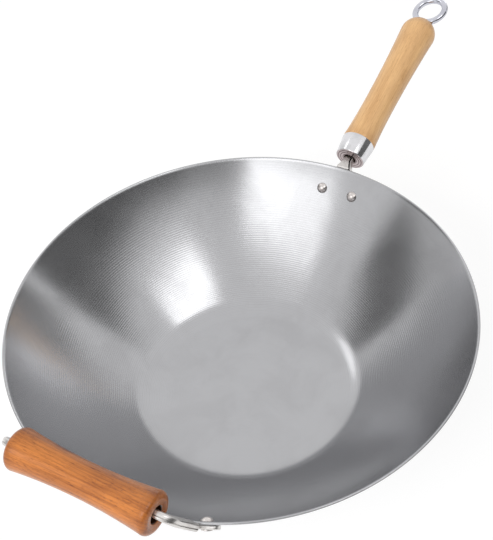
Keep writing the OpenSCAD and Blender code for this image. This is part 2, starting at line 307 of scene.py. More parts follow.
class Tree:
    """Short ways to add and join the nodes of one tree."""

    def __init__(self, tree):
        self.tree = tree
        self.nodes = tree.nodes

    def add(self, kind, **settings):
        """A new node of a kind, with its settings."""
        node = self.nodes.new(kind)
        for key, value in settings.items():
            setattr(node, key, value)
        return node

    def put(self, socket, value):
        """Links a socket to another, or sets its value; None leaves it as it is."""
        if isinstance(value, bpy.types.NodeSocket):
            self.tree.links.new(value, socket)
        elif value is not None:
            socket.default_value = value

    def calc(self, operation, *values, clamp=False):
        """The result of a Math node."""
        node = self.add("ShaderNodeMath", operation=operation, use_clamp=clamp)
        for socket, value in zip(node.inputs, values):
            self.put(socket, value)
        return node.outputs[0]

    def plus(self, a, b, clamp=False):
        return self.calc("ADD", a, b, clamp=clamp)

    def minus(self, a, b):
        return self.calc("SUBTRACT", a, b)

    def times(self, a, b, clamp=False):
        return self.calc("MULTIPLY", a, b, clamp=clamp)

    def times_plus(self, a, b, c):
        return self.calc("MULTIPLY_ADD", a, b, c)

    def vec(self, operation, *values, scale=None):
        """The result of a Vector Math node; only SCALE has a scale."""
        node = self.add("ShaderNodeVectorMath", operation=operation)
        for socket, value in zip(node.inputs, values):
            self.put(socket, value)
        if scale is not None:
            self.put(node.inputs["Scale"], scale)
        return node.outputs["Value" if operation == "LENGTH" else "Vector"]

    def height(self, vector):
        """The z of a position."""
        node = self.add("ShaderNodeSeparateXYZ")
        self.put(node.inputs[0], vector)
        return node.outputs[2]

    def from_axis(self, vector):
        """Distance of a position from the z axis."""
        return self.vec("LENGTH", self.vec("MULTIPLY", vector, (1, 1, 0)))

    def mapped(self, vector, **moves):
        """A position moved, turned or scaled by a Mapping node."""
        node = self.add("ShaderNodeMapping")
        self.put(node.inputs["Vector"], vector)
        for key, value in moves.items():
            node.inputs[key].default_value = value
        return node.outputs[0]

    def noise(self, vector, scale, detail=3.0, rough=0.5, distort=0.0):
        node = self.add("ShaderNodeTexNoise")
        self.put(node.inputs["Vector"], vector)
        self.put(node.inputs["Scale"], scale)
        node.inputs["Detail"].default_value = detail
        node.inputs["Roughness"].default_value = rough
        node.inputs["Distortion"].default_value = distort
        return node.outputs["Fac"]

    def noise_along(self, value, detail=2.0):
        """Noise that changes with one value only."""
        node = self.add("ShaderNodeTexNoise", noise_dimensions="1D")
        self.put(node.inputs["W"], value)
        node.inputs["Scale"].default_value = 1.0
        node.inputs["Detail"].default_value = detail
        return node.outputs["Fac"]

    def step(self, value, start, end, low=0.0, high=1.0):
        """A smooth change from low to high as value goes from start to end."""
        node = self.add("ShaderNodeMapRange", interpolation_type="SMOOTHSTEP")
        for socket, given in zip(node.inputs, (value, start, end, low, high)):
            self.put(socket, given)
        return node.outputs[0]

    def mix(self, factor, a, b):
        """A colour between two; 6, 7 and 2 are the colour sockets of a Mix node."""
        node = self.add("ShaderNodeMix", data_type="RGBA")
        self.put(node.inputs[0], factor)
        self.put(node.inputs[6], a)
        self.put(node.inputs[7], b)
        return node.outputs[2]

    def group(self, tree, **given):
        """A group with its inputs given; returns its outputs."""
        node = self.add("ShaderNodeGroup", node_tree=tree)
        for key, value in given.items():
            self.put(node.inputs[key], value)
        return node.outputs

    def glow(self, colour, strength=1.0):
        """A shader that gives off a plain colour."""
        node = self.add("ShaderNodeEmission")
        node.inputs["Color"].default_value = colour
        node.inputs["Strength"].default_value = strength
        return node.outputs[0]

    def blend(self, factor, first, second):
        """A shader between two."""
        node = self.add("ShaderNodeMixShader")
        for socket, value in zip(node.inputs, (factor, first, second)):
            self.put(socket, value)
        return node.outputs[0]

    def seen(self):
        """1 for rays from the camera or off a shiny or clear surface, otherwise 0."""
        path = self.add("ShaderNodeLightPath")
        camera, glossy, clear = (
            path.outputs[f"Is {kind} Ray"] for kind in ("Camera", "Glossy", "Transmission")
        )
        return self.calc("MAXIMUM", self.calc("MAXIMUM", camera, glossy), clear)


KINDS = {"v": "NodeSocketVector", "f": "NodeSocketFloat", "c": "NodeSocketColor"}


def new_group(name, inputs, outputs):
    """A shader node group; returns its tree, its Tree helper and its input sockets."""
    tree = bpy.data.node_groups.new(name, "ShaderNodeTree")
    for key, kind, start in inputs:
        socket = tree.interface.new_socket(name=key, in_out="INPUT", socket_type=KINDS[kind])
        if start is not None:
            socket.default_value = start
    for key, kind in outputs:
        tree.interface.new_socket(name=key, in_out="OUTPUT", socket_type=KINDS[kind])
    helper = Tree(tree)
    return tree, helper, helper.add("NodeGroupInput").outputs


def close_group(helper, **results):
    """Joins the results to the group's outputs of the same names."""
    out = helper.add("NodeGroupOutput")
    for key, value in results.items():
        helper.put(out.inputs[key], value)


def turning_marks():
    """Rings and fine lines left by turning about local z."""
    tree, t, given = new_group(
        "turning_marks",
        [("Position", "v", None), ("Pitch", "f", 0.002)],
        [("Rings", "f"), ("Lines", "f"), ("Radius", "f")],
    )
    radius = t.from_axis(given["Position"])
    drift = t.noise(given["Position"], 9.0, 1.0)
    place = t.calc("DIVIDE", radius, given["Pitch"])
    uneven = t.noise_along(t.times(place, 0.6))
    phase = t.plus(place, t.times(uneven, 0.5))
    phase = t.plus(phase, t.times(drift, 0.25))
    wave = t.calc("SINE", t.times(phase, 2 * math.pi))
    rings = t.times_plus(wave, 0.5, 0.5)
    lines = t.noise_along(t.times(place, 9.0), 4.0)
    close_group(t, Rings=rings, Lines=lines, Radius=radius)
    return tree


def handling_marks():
    """Soft smudges, and short thin scratches that run every way."""
    tree, t, given = new_group(
        "handling_marks",
        [("Position", "v", None), ("Size", "f", 1.0)],
        [("Smudge", "f"), ("Scratch", "f"), ("Grain", "f")],
    )
    place = t.vec("SCALE", given["Position"], scale=given["Size"])
    smudge = t.step(t.noise(place, 24.0, 4.0, 0.6, 0.4), 0.35, 0.7)
    scratch = 0.0
    for i, (about_x, about_y) in enumerate(((35, 20), (-50, 75), (10, 130))):
        turned_by = (math.radians(about_x), math.radians(about_y), i * 1.1)
        lay = t.mapped(place, Rotation=turned_by, Scale=(45.0, 1900.0, 1900.0))
        mark = t.step(t.noise(lay, 1.0, 1.0), 0.74, 0.80)
        scratch = t.calc("MAXIMUM", scratch, mark)
    grain = t.noise(given["Position"], 900.0, 3.0, 0.6)
    close_group(t, Smudge=smudge, Scratch=scratch, Grain=grain)
    return tree


def wood_grain():
    """Straight grain along local z: growth bands, fibres, short dark pores, a knot, and painted
    shade inside the bore.
    """
    tree, t, given = new_group(
        "wood_grain",
        [
            ("Position", "v", None),
            ("Pale", "c", (0.66, 0.40, 0.19, 1)),
            ("Dark", "c", (0.40, 0.20, 0.08, 1)),
            ("Bands", "f", 220.0),
            ("Figure", "f", 1.0),
            ("Middle", "f", 0.0),
            ("Half Length", "f", 0.056),
            ("End Tone", "f", 0.4),
            ("Bore", "f", 0.006),
            ("Bore To", "f", 1.0),
            ("Knot", "v", None),
        ],
        [("Color", "c"), ("Height", "f"), ("Dry", "f")],
    )

    def stretched(along, across):
        """The position drawn out along the grain; both in features per metre."""
        return t.mapped(given["Position"], Scale=(across, across, along))

    split = t.add("ShaderNodeSeparateXYZ")
    t.put(split.inputs[0], given["Position"])
    x, y, z = split.outputs
    wander = t.noise(stretched(9.0, 60.0), 1.0, 2.0)
    bands = t.times(t.plus(x, t.times(y, 0.45)), given["Bands"])
    bands = t.plus(bands, t.times(wander, 3.2))
    bands = t.times_plus(t.calc("SINE", t.times(bands, 2 * math.pi)), 0.5, 0.5)
    bands = t.calc("POWER", bands, 2.2)
    fibres = t.noise(stretched(22.0, 1500.0), 1.0, 3.0, 0.65)
    streak = t.step(t.noise(stretched(7.0, 210.0), 1.0, 3.0), 0.48, 0.72)
    pores = t.step(t.noise(stretched(230.0, 2100.0), 1.0, 1.0), 0.60, 0.72)
    mottle = t.noise(stretched(26.0, 75.0), 1.0, 2.0)
    depth = t.times(bands, 0.17)
    depth = t.plus(depth, t.times(t.step(fibres, 0.34, 0.68), 0.30))
    depth = t.plus(depth, t.times(streak, 0.30))
    depth = t.plus(depth, t.step(mottle, 0.36, 0.66, -0.10, 0.20))
    depth = t.plus(depth, t.times(pores, 0.42))

    # A small dark knot, uneven at its edge.
    to_knot = t.vec("SUBTRACT", given["Position"], given["Knot"])
    to_knot = t.vec("LENGTH", t.vec("MULTIPLY", to_knot, (1.0, 1.0, 0.62)))
    to_knot = t.plus(to_knot, t.times(t.minus(mottle, 0.5), 0.012))
    flakes = t.noise(stretched(170.0, 380.0), 1.0, 3.0, 0.6, 0.8)
    flakes = t.step(flakes, 0.30, 0.66, 0.45, 1.0)
    near = t.step(to_knot, 0.0002, 0.0080, 0.55, 0.0)
    depth = t.plus(depth, t.times(near, flakes))

    depth = t.times(depth, given["Figure"], clamp=True)
    colour = t.mix(depth, given["Pale"], given["Dark"])
    off = t.calc("ABSOLUTE", t.minus(z, given["Middle"]))
    ends = t.step(t.minus(off, given["Half Length"]), -0.012, 0.001)
    colour = t.mix(t.times(ends, given["End Tone"]), colour, given["Dark"])

    # Painted shade: the bore is coloured nearly black inside, but not past Bore To, where the
    # loop's seat is.
    into_bore = t.minus(t.from_axis(given["Position"]), given["Bore"])
    inside = t.step(into_bore, 0.0001, 0.0006, 0.92, 0.0)
    past = t.minus(z, given["Bore To"])
    inside = t.times(inside, t.step(past, 0.0, 0.001, 1.0, 0.0))
    colour = t.mix(inside, colour, (0.020, 0.010, 0.006, 1))

    height = t.minus(t.times(fibres, 0.5), t.times(pores, 0.7))
    dry = t.plus(t.times(fibres, 0.6), t.times(pores, 0.4))
    close_group(t, Color=colour, Height=height, Dry=dry)
    return tree


TURNING = turning_marks()
HANDLING = handling_marks()
WOOD = wood_grain()


def new_material(name):
    """A material with its Principled shader; returns it, its Tree helper and the shader."""
    material = bpy.data.materials.new(name)
    material.use_nodes = True
    t = Tree(material.node_tree)
    return material, t, t.nodes["Principled BSDF"]


def local_position(t, place):
    """The piece's own coordinates, for a place whose local z is its axis."""
    back = place.inverted()
    return t.mapped(
        t.add("ShaderNodeTexCoord").outputs["Object"],
        Location=back.to_translation(),
        Rotation=back.to_euler("XYZ"),
    )


def round_axis(t, place):
    """Direction round the axis of a place, for the sheen of turned metal."""
    here = t.add("ShaderNodeTexCoord").outputs["Object"]
    axis = (place.to_3x3() @ Vector((0, 0, 1))).normalized()
    around = t.vec("CROSS_PRODUCT", axis, t.vec("SUBTRACT", here, place.to_translation()))
    world = t.add("ShaderNodeVectorTransform", vector_type="VECTOR")
    world.convert_from, world.convert_to = "OBJECT", "WORLD"
    t.put(world.inputs[0], around)
    return world.outputs[0]


def bumped(t, shader, height, strength, distance):
    """Small relief from a height; the distance is in metres."""
    bump = t.add("ShaderNodeBump")
    bump.inputs["Strength"].default_value = strength
    bump.inputs["Distance"].default_value = distance
    t.put(bump.inputs["Height"], height)
    t.put(shader.inputs["Normal"], bump.outputs[0])


SHEEN_TURN = 0.25  # of a full turn, which lays the highlight across the rings


def spun_steel():
    """Bare carbon steel, spun: rings in the middle of the wall, smooth base and rim."""
    material, t, shader = new_material("spun_carbon_steel")
    bowl_axis = Matrix.Identity(4)
    here = local_position(t, bowl_axis)
    marks = t.group(TURNING, Position=here, Pitch=1.35 * MM)
    wear = t.group(HANDLING, Position=here, Size=1.0)
    rise = t.step(marks["Radius"], 0.070, 0.092, 0.45, 1.0)
    fall = t.step(marks["Radius"], 0.142, 0.172, 1.0, 0.12)
    zone = t.times(rise, fall)
    tone = t.times(marks["Rings"], t.times(zone, 0.22))
    tone = t.plus(tone, t.times(wear["Smudge"], 0.22), clamp=True)
    colour = t.mix(tone, (0.47, 0.472, 0.485, 1), (0.335, 0.332, 0.340, 1))
    t.put(shader.inputs["Base Color"], colour)
    shader.inputs["Metallic"].default_value = 1.0
    rough = t.times_plus(wear["Smudge"], 0.04, 0.165)
    rough = t.plus(rough, t.times(marks["Lines"], 0.06))
    rough = t.minus(rough, t.times(wear["Scratch"], 0.05))
    t.put(shader.inputs["Roughness"], rough)
    shader.inputs["Anisotropic"].default_value = 0.30
    shader.inputs["Anisotropic Rotation"].default_value = SHEEN_TURN
    t.put(shader.inputs["Tangent"], round_axis(t, bowl_axis))
    height = t.times(marks["Rings"], zone)
    height = t.plus(height, t.times(marks["Lines"], 0.25))
    height = t.minus(height, t.times(wear["Scratch"], 0.15))
    bumped(t, shader, height, 0.16, 0.00010)
    return material


def turned_chrome(place):
    """Plated ferrule, with the rings of its turning on the front face, which carries a painted
    pinkish reflection in rings.
    """
    material, t, shader = new_material("turned_chrome")
    here = local_position(t, place)
    marks = t.group(TURNING, Position=here, Pitch=0.7 * MM)
    wear = t.group(HANDLING, Position=here, Size=3.0)
    face = t.step(t.height(here), 0.0002, 0.0007, 1.0, 0.0)
    side = t.mix(wear["Smudge"], (0.74, 0.735, 0.755, 1), (0.60, 0.60, 0.61, 1))
    # Painted reflection: the front face is coloured pinkish brown and darker in rings, standing
    # in for the warm reflection it shows.
    painted_reflection_rings = t.group(TURNING, Position=here, Pitch=2.2 * MM)["Rings"]
    front = t.mix(t.step(painted_reflection_rings, 0.45, 0.95), (0.50, 0.43, 0.43, 1), (0.20, 0.155, 0.16, 1))
    t.put(shader.inputs["Base Color"], t.mix(face, side, front))
    shader.inputs["Metallic"].default_value = 1.0
    rough = t.times_plus(wear["Smudge"], 0.06, 0.10)
    t.put(shader.inputs["Roughness"], t.times_plus(marks["Lines"], 0.08, rough))
    shader.inputs["Anisotropic"].default_value = 0.5
    shader.inputs["Anisotropic Rotation"].default_value = SHEEN_TURN
    t.put(shader.inputs["Tangent"], round_axis(t, place))
    height = t.times_plus(marks["Rings"], 0.6, t.times(marks["Lines"], 0.4))
    bumped(t, shader, height, 0.15, 0.00008)
    return material


def plated(name, bright, dull, rough_low, rough_gain, size, bump):
    """Rolled or drawn steel with a plated finish, smudged and finely scratched."""
    material, t, shader = new_material(name)
    here = t.add("ShaderNodeTexCoord").outputs["Object"]
    wear = t.group(HANDLING, Position=here, Size=size)
    tone = t.plus(t.times(wear["Smudge"], 0.7), t.times(wear["Grain"], 0.3))
    t.put(shader.inputs["Base Color"], t.mix(tone, bright, dull))
    shader.inputs["Metallic"].default_value = 1.0
    rough = t.times_plus(wear["Smudge"], rough_gain, rough_low)
    t.put(shader.inputs["Roughness"], t.times_plus(wear["Grain"], 0.06, rough))
    height = t.minus(t.times(wear["Grain"], 0.5), t.times(wear["Scratch"], 0.5))
    bumped(t, shader, height, bump, 0.00006)
    return material


def grip_wood(name, place, gloss, **looks):
    """Lacquered wood; the grain runs along the place's z and darkens at the ends."""
    material, t, shader = new_material(name)
    here = local_position(t, place)
    grain = t.group(WOOD, Position=here, **looks)
    wear = t.group(HANDLING, Position=here, Size=2.0)
    t.put(shader.inputs["Base Color"], grain["Color"])
    rough = t.times_plus(grain["Dry"], 0.14, gloss)
    t.put(shader.inputs["Roughness"], t.times_plus(wear["Smudge"], 0.08, rough))
    shader.inputs["Coat Weight"].default_value = 0.25
    shader.inputs["Coat Roughness"].default_value = 0.16
    shader.inputs["Specular IOR Level"].default_value = 0.36
    bumped(t, shader, grain["Height"], 0.25, 0.00008)
    return material


# ---------------------------------------------------------------- pieces


def make_bowl():
    """Spun bowl: flat base, knuckle, swept wall and a rim with a full round edge."""
    outside = [(0, 0)] + [(r, 0) for r in BASE_RINGS]
    outside += arc(KNUCKLE_C, KNUCKLE_R + HALF_SHEET, 0, KNUCKLE_SLOPE, 14)
    outside += arc(WALL_C, WALL_R + HALF_SHEET, KNUCKLE_SLOPE, RIM_SLOPE, 64)[1:]
    rim = arc(RIM_MID, HALF_SHEET, RIM_SLOPE, RIM_SLOPE + 180, 10)[1:-1]
    inside = arc(WALL_C, WALL_R - HALF_SHEET, RIM_SLOPE, KNUCKLE_SLOPE, 64)
    inside += arc(KNUCKLE_C, KNUCKLE_R - HALF_SHEET, KNUCKLE_SLOPE, 0, 14)[1:]
    inside += [(r, 2 * HALF_SHEET) for r in (*reversed(BASE_RINGS), 0)]
    profile = [(z, r) for r, z in outside + rim + inside]
    bm = turned(profile, Matrix.Identity(4), 288, closed=False)
    piece("bowl", bm, "wok", spun_steel(), ["wok_bowl"], 60)


def rivet_profile(clamped):
    """Domed head inside the bowl, shank and hammered end, as (along, radius).

    Clamped is the thickness of what the rivet holds outside the bowl's sheet.
    """
    head_lift = 0.05  # a flat head stands off the curved wall
    fillet = 0.15
    tail_side, tail_flat_r, tail_round = 0.7, 2.2, 0.4
    inside = -HALF_SHEET - SEAT_GAP - head_lift
    outside = HALF_SHEET + clamped + 2 * SEAT_GAP
    dome_r = bow(RIVET_HEAD_R, RIVET_HEAD_H)
    dome = arc(
        (0, inside - RIVET_HEAD_H + dome_r),
        dome_r,
        0,
        math.degrees(math.asin(RIVET_HEAD_R / dome_r)),
        10,
    )
    shank = eased(
        [
            (inside, RIVET_HEAD_R, 0),
            (inside, RIVET_R, fillet),
            (outside, RIVET_R, 0),
            (outside, RIVET_TAIL_R, 0),
        ]
    )
    tail = eased(
        [
            (outside, RIVET_TAIL_R, 0),
            (outside + tail_side, RIVET_TAIL_R, tail_round),
            (outside + RIVET_TAIL_H, tail_flat_r, 0),
        ]
    )
    return [(z, r) for r, z in dome] + shank[1:] + tail[1:] + [(outside + RIVET_TAIL_H, 0)]


def make_rivets(steel):
    """Two rivets through the stem's foot, and two through the strap's feet."""
    for name, az, gap, drop, clamped, node in (
        ("rivets_of_stem", 0, STEM_TURN, STEM_RIVET_DROP, STEM_CLAMP, "stem_rivets"),
        ("rivets_of_helper", 180, HELPER_TURN, HELPER_RIVET_DROP, HELPER_CLAMP, "helper_rivets"),
    ):
        both = [
            turned(rivet_profile(clamped), on_wall(az + side * gap, drop), 48, closed=False)
            for side in (-1, 1)
        ]
        piece(name, joined(both), "wok", steel, [node], 50)


def make_ferrule():
    """Thin tapered cap of plated sheet, its front turned with rings round the stem's hole."""
    groove_half, groove_depth, groove_ease = 0.45, 0.32, 0.2
    hole = (FERRULE_T, STEM_HOLE_R, 0)
    front = [(0, STEM_HOLE_R, 0.25)]
    for r in FERRULE_RING_R:
        front += [
            (0, r - groove_half, groove_ease),
            (groove_depth, r, groove_ease),
            (0, r + groove_half, groove_ease),
        ]
    outside = [(0, 12.2, 0.5), (FERRULE_T, 12.9, 0.5), (FERRULE_L, GRIP_FRONT_R, 0.25)]
    inside = [
        (FERRULE_L, GRIP_FRONT_R - FERRULE_T, 0.2),
        (1.5, 12.1, 0.5),
        (FERRULE_T, 11.2, 0.3),
    ]
    profile = eased([hole, *front, *outside, *inside, hole])[:-1]
    bm = turned(profile, ALONG_HANDLE, 160)
    chrome = turned_chrome(ALONG_HANDLE)
    piece("ferrule", bm, "wok", chrome, ["handle_ferrule"], 50)


def make_handle_grip():
    """Long grip: eased where it meets the ferrule, waisted, swelling to a round end."""
    lip = 0.5
    crown_turn = 54.2  # where the rounded end meets the loop's flat seat
    front = bow(GRIP_WAIST_X - GRIP_FRONT_X, GRIP_FRONT_R - GRIP_WAIST_R)
    rear = bow(GRIP_WIDE_X - GRIP_WAIST_X, GRIP_END_R - GRIP_WAIST_R)
    body = []
    for i in range(49):
        x = GRIP_FRONT_X + lip + (GRIP_WIDE_X - GRIP_FRONT_X - lip) * i / 48
        bend = front if x < GRIP_WAIST_X else rear
        body.append((x, GRIP_WAIST_R + bend - math.sqrt(bend**2 - (x - GRIP_WAIST_X) ** 2)))
    crown = []
    for i in range(1, 20):
        a = math.radians(crown_turn * i / 19)
        crown.append((GRIP_WIDE_X + GRIP_END_R * math.sin(a), GRIP_END_R * math.cos(a)))
    seat = [
        (SEAT_X - 0.25, SEAT_R),
        (SEAT_X, SEAT_R - 0.5),
        (SEAT_X, BOLT_HOLE_R + 0.4),
        (SEAT_X - 0.4, BOLT_HOLE_R),
    ]
    bore = [(POCKET_X, BOLT_HOLE_R), (POCKET_X, POCKET_R), (1.0, POCKET_R)]
    tenon = [(1.0, 10.9), (1.8, 11.9), (GRIP_FRONT_X, 13.65), (GRIP_FRONT_X, 14.2)]
    profile = tenon + body + crown + seat + bore
    bm = turned(profile, ALONG_HANDLE, 144)
    wood = grip_wood(
        "pale_lacquered_wood",
        ALONG_HANDLE,
        0.34,
        Pale=(0.97, 0.595, 0.275, 1),
        Dark=(0.44, 0.180, 0.055, 1),
        Bands=330.0,
        Figure=0.62,
        Middle=0.088,
        Knot=(-0.0085, -0.0118, 0.0925),
        **{"Half Length": 0.071, "End Tone": 0.30, "Bore": 0.0053, "Bore To": 0.150},
    )
    piece("long_grip", bm, "wok", wood, ["handle_grip"], 40)


def make_loop():
    """Bolt and hanging loop, one bent and polished rod."""
    bm = bmesh.new()
    made = bmesh.ops.create_circle(bm, segments=32, radius=LOOP_WIRE_R * MM)
    stand = shift(LOOP_R, 0, 0) @ turn(90, "X")
    bmesh.ops.transform(bm, matrix=stand, verts=made["verts"])
    full_spin(bm, list(bm.verts) + list(bm.edges), 96)
    place = ALONG_HANDLE @ shift(0, 0, LOOP_X) @ turn(LOOP_TURN, "Z") @ turn(90, "Y")
    bmesh.ops.transform(bm, matrix=place, verts=bm.verts)
    into_loop = LOOP_X - LOOP_R
    shaft = eased([(BOLT_X, 0, 0), (BOLT_X, BOLT_R, 0.5), (into_loop, BOLT_R, 0)])
    bolt = turned(shaft + [(into_loop, 0)], ALONG_HANDLE, 48, closed=False)
    chrome = plated(
        "polished_chrome",
        (0.66, 0.665, 0.72, 1),
        (0.50, 0.505, 0.56, 1),
        rough_low=0.05,
        rough_gain=0.06,
        size=4.0,
        bump=0.08,
    )
    piece("hanging_loop", joined([bm, bolt]), "tie_bolt", chrome, ["tie_bolt_loop"])


def folded_section(w, h, t, corner, seam, inner_corner=0.5):
    """Section of sheet folded into a flat tube, as [x, y] points.

    The open seam is on the +x edge, from one height to another.
    """
    # The least sizes keep the section from crossing itself where it is pressed flat.
    low, high = seam
    lip = 0.12
    edge = w / 2 - 0.01
    corner = min(corner, h / 2 - 0.02)
    inner_w = w / 2 - t
    inner_h = max(h / 2 - t, 0.03)
    inner_c = min(inner_corner, inner_h * 0.8)

    def corners(half_w, half_h, r, way, order):
        points = []
        for sx, sy, start in order:
            for i in range(6):
                a = math.radians(start + way * 90 * i / 5)
                x, y = sx * (half_w - r), sy * (half_h - r)
                points.append((x + r * math.cos(a), y + r * math.sin(a)))
        return points

    outer_order = ((1, 1, 0), (-1, 1, 90), (-1, -1, 180), (1, -1, 270))
    inner_order = ((1, -1, 0), (-1, -1, 270), (-1, 1, 180), (1, 1, 90))
    outer = corners(w / 2, h / 2, corner, 1, outer_order)
    inner = corners(inner_w, inner_h, inner_c, -1, inner_order)
    start = [(inner_w, high), (edge - lip, high), (edge, high + lip)]
    finish = [(edge, low - lip), (edge - lip, low), (inner_w, low)]
    return start + outer + finish + inner


def strap_frame():
    """The strap's own plane, the length of its legs and their turn; mm and radians."""
    leg_off = HALF_SHEET + STRAP_H / 2
    slope, r_mid, z_mid = wall_at(HELPER_RIVET_DROP)
    a = math.radians(slope)
    leg_r = r_mid + leg_off * math.sin(a)
    leg_az = math.radians(HELPER_TURN) - FOOT_IN / leg_r
    leg_z = z_mid - leg_off * math.cos(a)
    end = Vector((-leg_r * math.cos(leg_az), leg_r * math.sin(leg_az), leg_z))
    reach = math.hypot(STRAP_W / 2 - STRAP_ROUND, STRAP_H / 2 - STRAP_ROUND) + STRAP_ROUND
    middle = Vector(HELPER_C) + Vector((0, 0, HELPER_BORE_R - reach - 3 * SEAT_GAP))
    lean = math.degrees(math.atan2(end.x - middle.x, middle.z - end.z))
    drop = math.hypot(end.x - middle.x, middle.z - end.z)
    aim = (end.y - STRAP_OUT, BEND_R - drop)
    leg_l = math.sqrt(aim[0] ** 2 + aim[1] ** 2 - BEND_R**2)
    bend = math.atan2(aim[0], aim[1]) - math.atan2(leg_l, BEND_R)
    bend = bend % (2 * math.pi)
    plane = shift(*middle) @ turn(-lean, "Y") @ turn(-90, "Z")
    return in_mm(plane), leg_l, bend


def station(position, across, through):
    """A frame whose x is across the strap and y is through it, outwards; mm."""
    along = across.cross(through).normalized()
    across = through.cross(along).normalized()
    made = Matrix((across, through.normalized(), along)).transposed().to_4x4()
    made.translation = position
    return made


def make_strap(steel):
    """Folded strap through the helper grip, bent down at both ends and pressed flat."""
    plane, leg_l, bend = strap_frame()
    full = (STRAP_W, STRAP_H)

    def at(x, z, angle):
        """A station of the strap's plane, square to a run that falls by an angle."""
        spin = plane.to_3x3()
        across = spin @ Vector((math.sin(angle), 0, math.cos(angle)))
        return station(plane @ Vector((x, 0, z)), across, spin @ Vector((0, -1, 0)))

    def on_bend(angle):
        x = STRAP_OUT + BEND_R * math.sin(angle)
        return x, -BEND_R + BEND_R * math.cos(angle)

    stations = [(at(x, 0, 0), *full) for x in (0, STRAP_OUT)]
    for i in range(1, 15):
        a = bend * i / 14
        stations.append((at(*on_bend(a), a), *full))
    x, z = on_bend(bend)
    run = leg_l - CRUSH_L
    leg = at(x + run * math.cos(bend), z - run * math.sin(bend), bend)
    stations.append((leg, *full))

    side = -1 if leg.translation.y < 0 else 1
    wall = in_mm(on_wall(180 - side * HELPER_TURN, HELPER_RIVET_DROP))
    spin = wall.to_3x3()
    out = spin @ Vector((0, 1, 0))
    if out.y * side < 0:
        out = -out
    up = spin @ Vector((-1, 0, 0))
    through = spin @ Vector((0, 0, 1))

    def on_foot(run):
        """A station of the flat foot, at a distance outwards past the rivet."""
        middle = wall.translation + out * run + through * (FOOT_GAP + FOOT_T / 2)
        return station(middle, up, through)

    # The leg is pressed flat along a curve from its end to the start of the foot.
    pull = 0.42
    foot = on_foot(1 - FOOT_IN)
    start, end = leg.translation, foot.translation
    reach = (end - start).length * pull
    way_in = start + leg.to_3x3() @ Vector((0, 0, 1)) * reach
    way_out = end - out * reach
    for i in range(1, 13):
        s = i / 12
        middle = (
            start * (1 - s) ** 3
            + way_in * 3 * s * (1 - s) ** 2
            + way_out * 3 * s * s * (1 - s)
            + end * s**3
        )
        ease = s * s * (3 - 2 * s)
        turned_by = leg.to_quaternion().slerp(foot.to_quaternion(), ease).to_matrix().to_4x4()
        turned_by.translation = middle
        w = STRAP_W + (FOOT_W - STRAP_W) * ease
        h = STRAP_H + (FOOT_T - STRAP_H) * ease
        stations.append((turned_by, w, h))
    stations.append((on_foot(FOOT_OUT), FOOT_W, FOOT_T))
    for i in range(1, 8):
        a = math.radians(90 * i / 8)
        w = FOOT_W - 2 * FOOT_ROUND + 2 * FOOT_ROUND * math.cos(a)
        stations.append((on_foot(FOOT_OUT + FOOT_ROUND * math.sin(a)), w, FOOT_T))

    rings = []
    for place, w, h in stations:
        sheet = min(STRAP_T, h / 2 - 0.04)
        seam = (0.08 * h, 0.18 * h)
        corner = 1.7 if h > 4 else 1.2  # sharper where it is pressed flat
        section = folded_section(w, h, sheet, corner, seam)
        rings.append([place @ Vector((x, y, 0)) for x, y in section])
    bm = swept(rings, cap_start=False)
    bmesh.ops.mirror(
        bm,
        geom=list(bm.verts) + list(bm.edges) + list(bm.faces),
        matrix=Matrix.Identity(4),
        merge_dist=1e-6,
        axis="Y",
    )
    piece("helper_strap", bm, "wok", steel, ["helper_bracket"], 38)


def make_helper_grip():
    """Turned helper grip: waisted, its ends rounded over and slightly dished."""
    ease = 4.4
    flare = 3.0  # the waist's curve reaches the full end radius this far in
    bend = bow(HELPER_HALF_L - flare, HELPER_END_R - HELPER_WAIST_R)
    start = -HELPER_HALF_L + ease
    side = []
    for i in range(1, 60):
        y = start - 2 * start * i / 60
        side.append((y, HELPER_WAIST_R + bend - math.sqrt(bend**2 - y**2)))
    near = []
    for degrees in range(90, -1, -10):
        a = math.radians(degrees)
        rounded = HELPER_END_R - 0.1 - ease + ease * math.cos(a)
        near.append((start - ease * math.sin(a), rounded))
    far = [(-y, r) for y, r in reversed(near)]
    dish = [
        (HELPER_HALF_L - inwards, r)
        for inwards, r in ((0.15, 9.6), (0.4, 8.0), (0.6, 6.7), (1.4, HELPER_BORE_R))
    ]
    back = [(-y, r) for y, r in reversed(dish)]
    place = shift(*HELPER_C) @ turn(90, "X")
    bm = turned(near + side + far + dish + back, place, 144)
    wood = grip_wood(
        "warm_lacquered_wood",
        place,
        0.22,
        Pale=(0.72, 0.245, 0.050, 1),
        Dark=(0.17, 0.036, 0.009, 1),
        Bands=380.0,
        Figure=0.95,
        Middle=0.0,
        Knot=(0.0110, 0.0060, -0.0210),
        **{"Half Length": 0.056, "End Tone": 0.40, "Bore": 0.0060},
    )
    piece("helper_grip_wood", bm, "side_grip", wood, ["helper_grip"], 40)


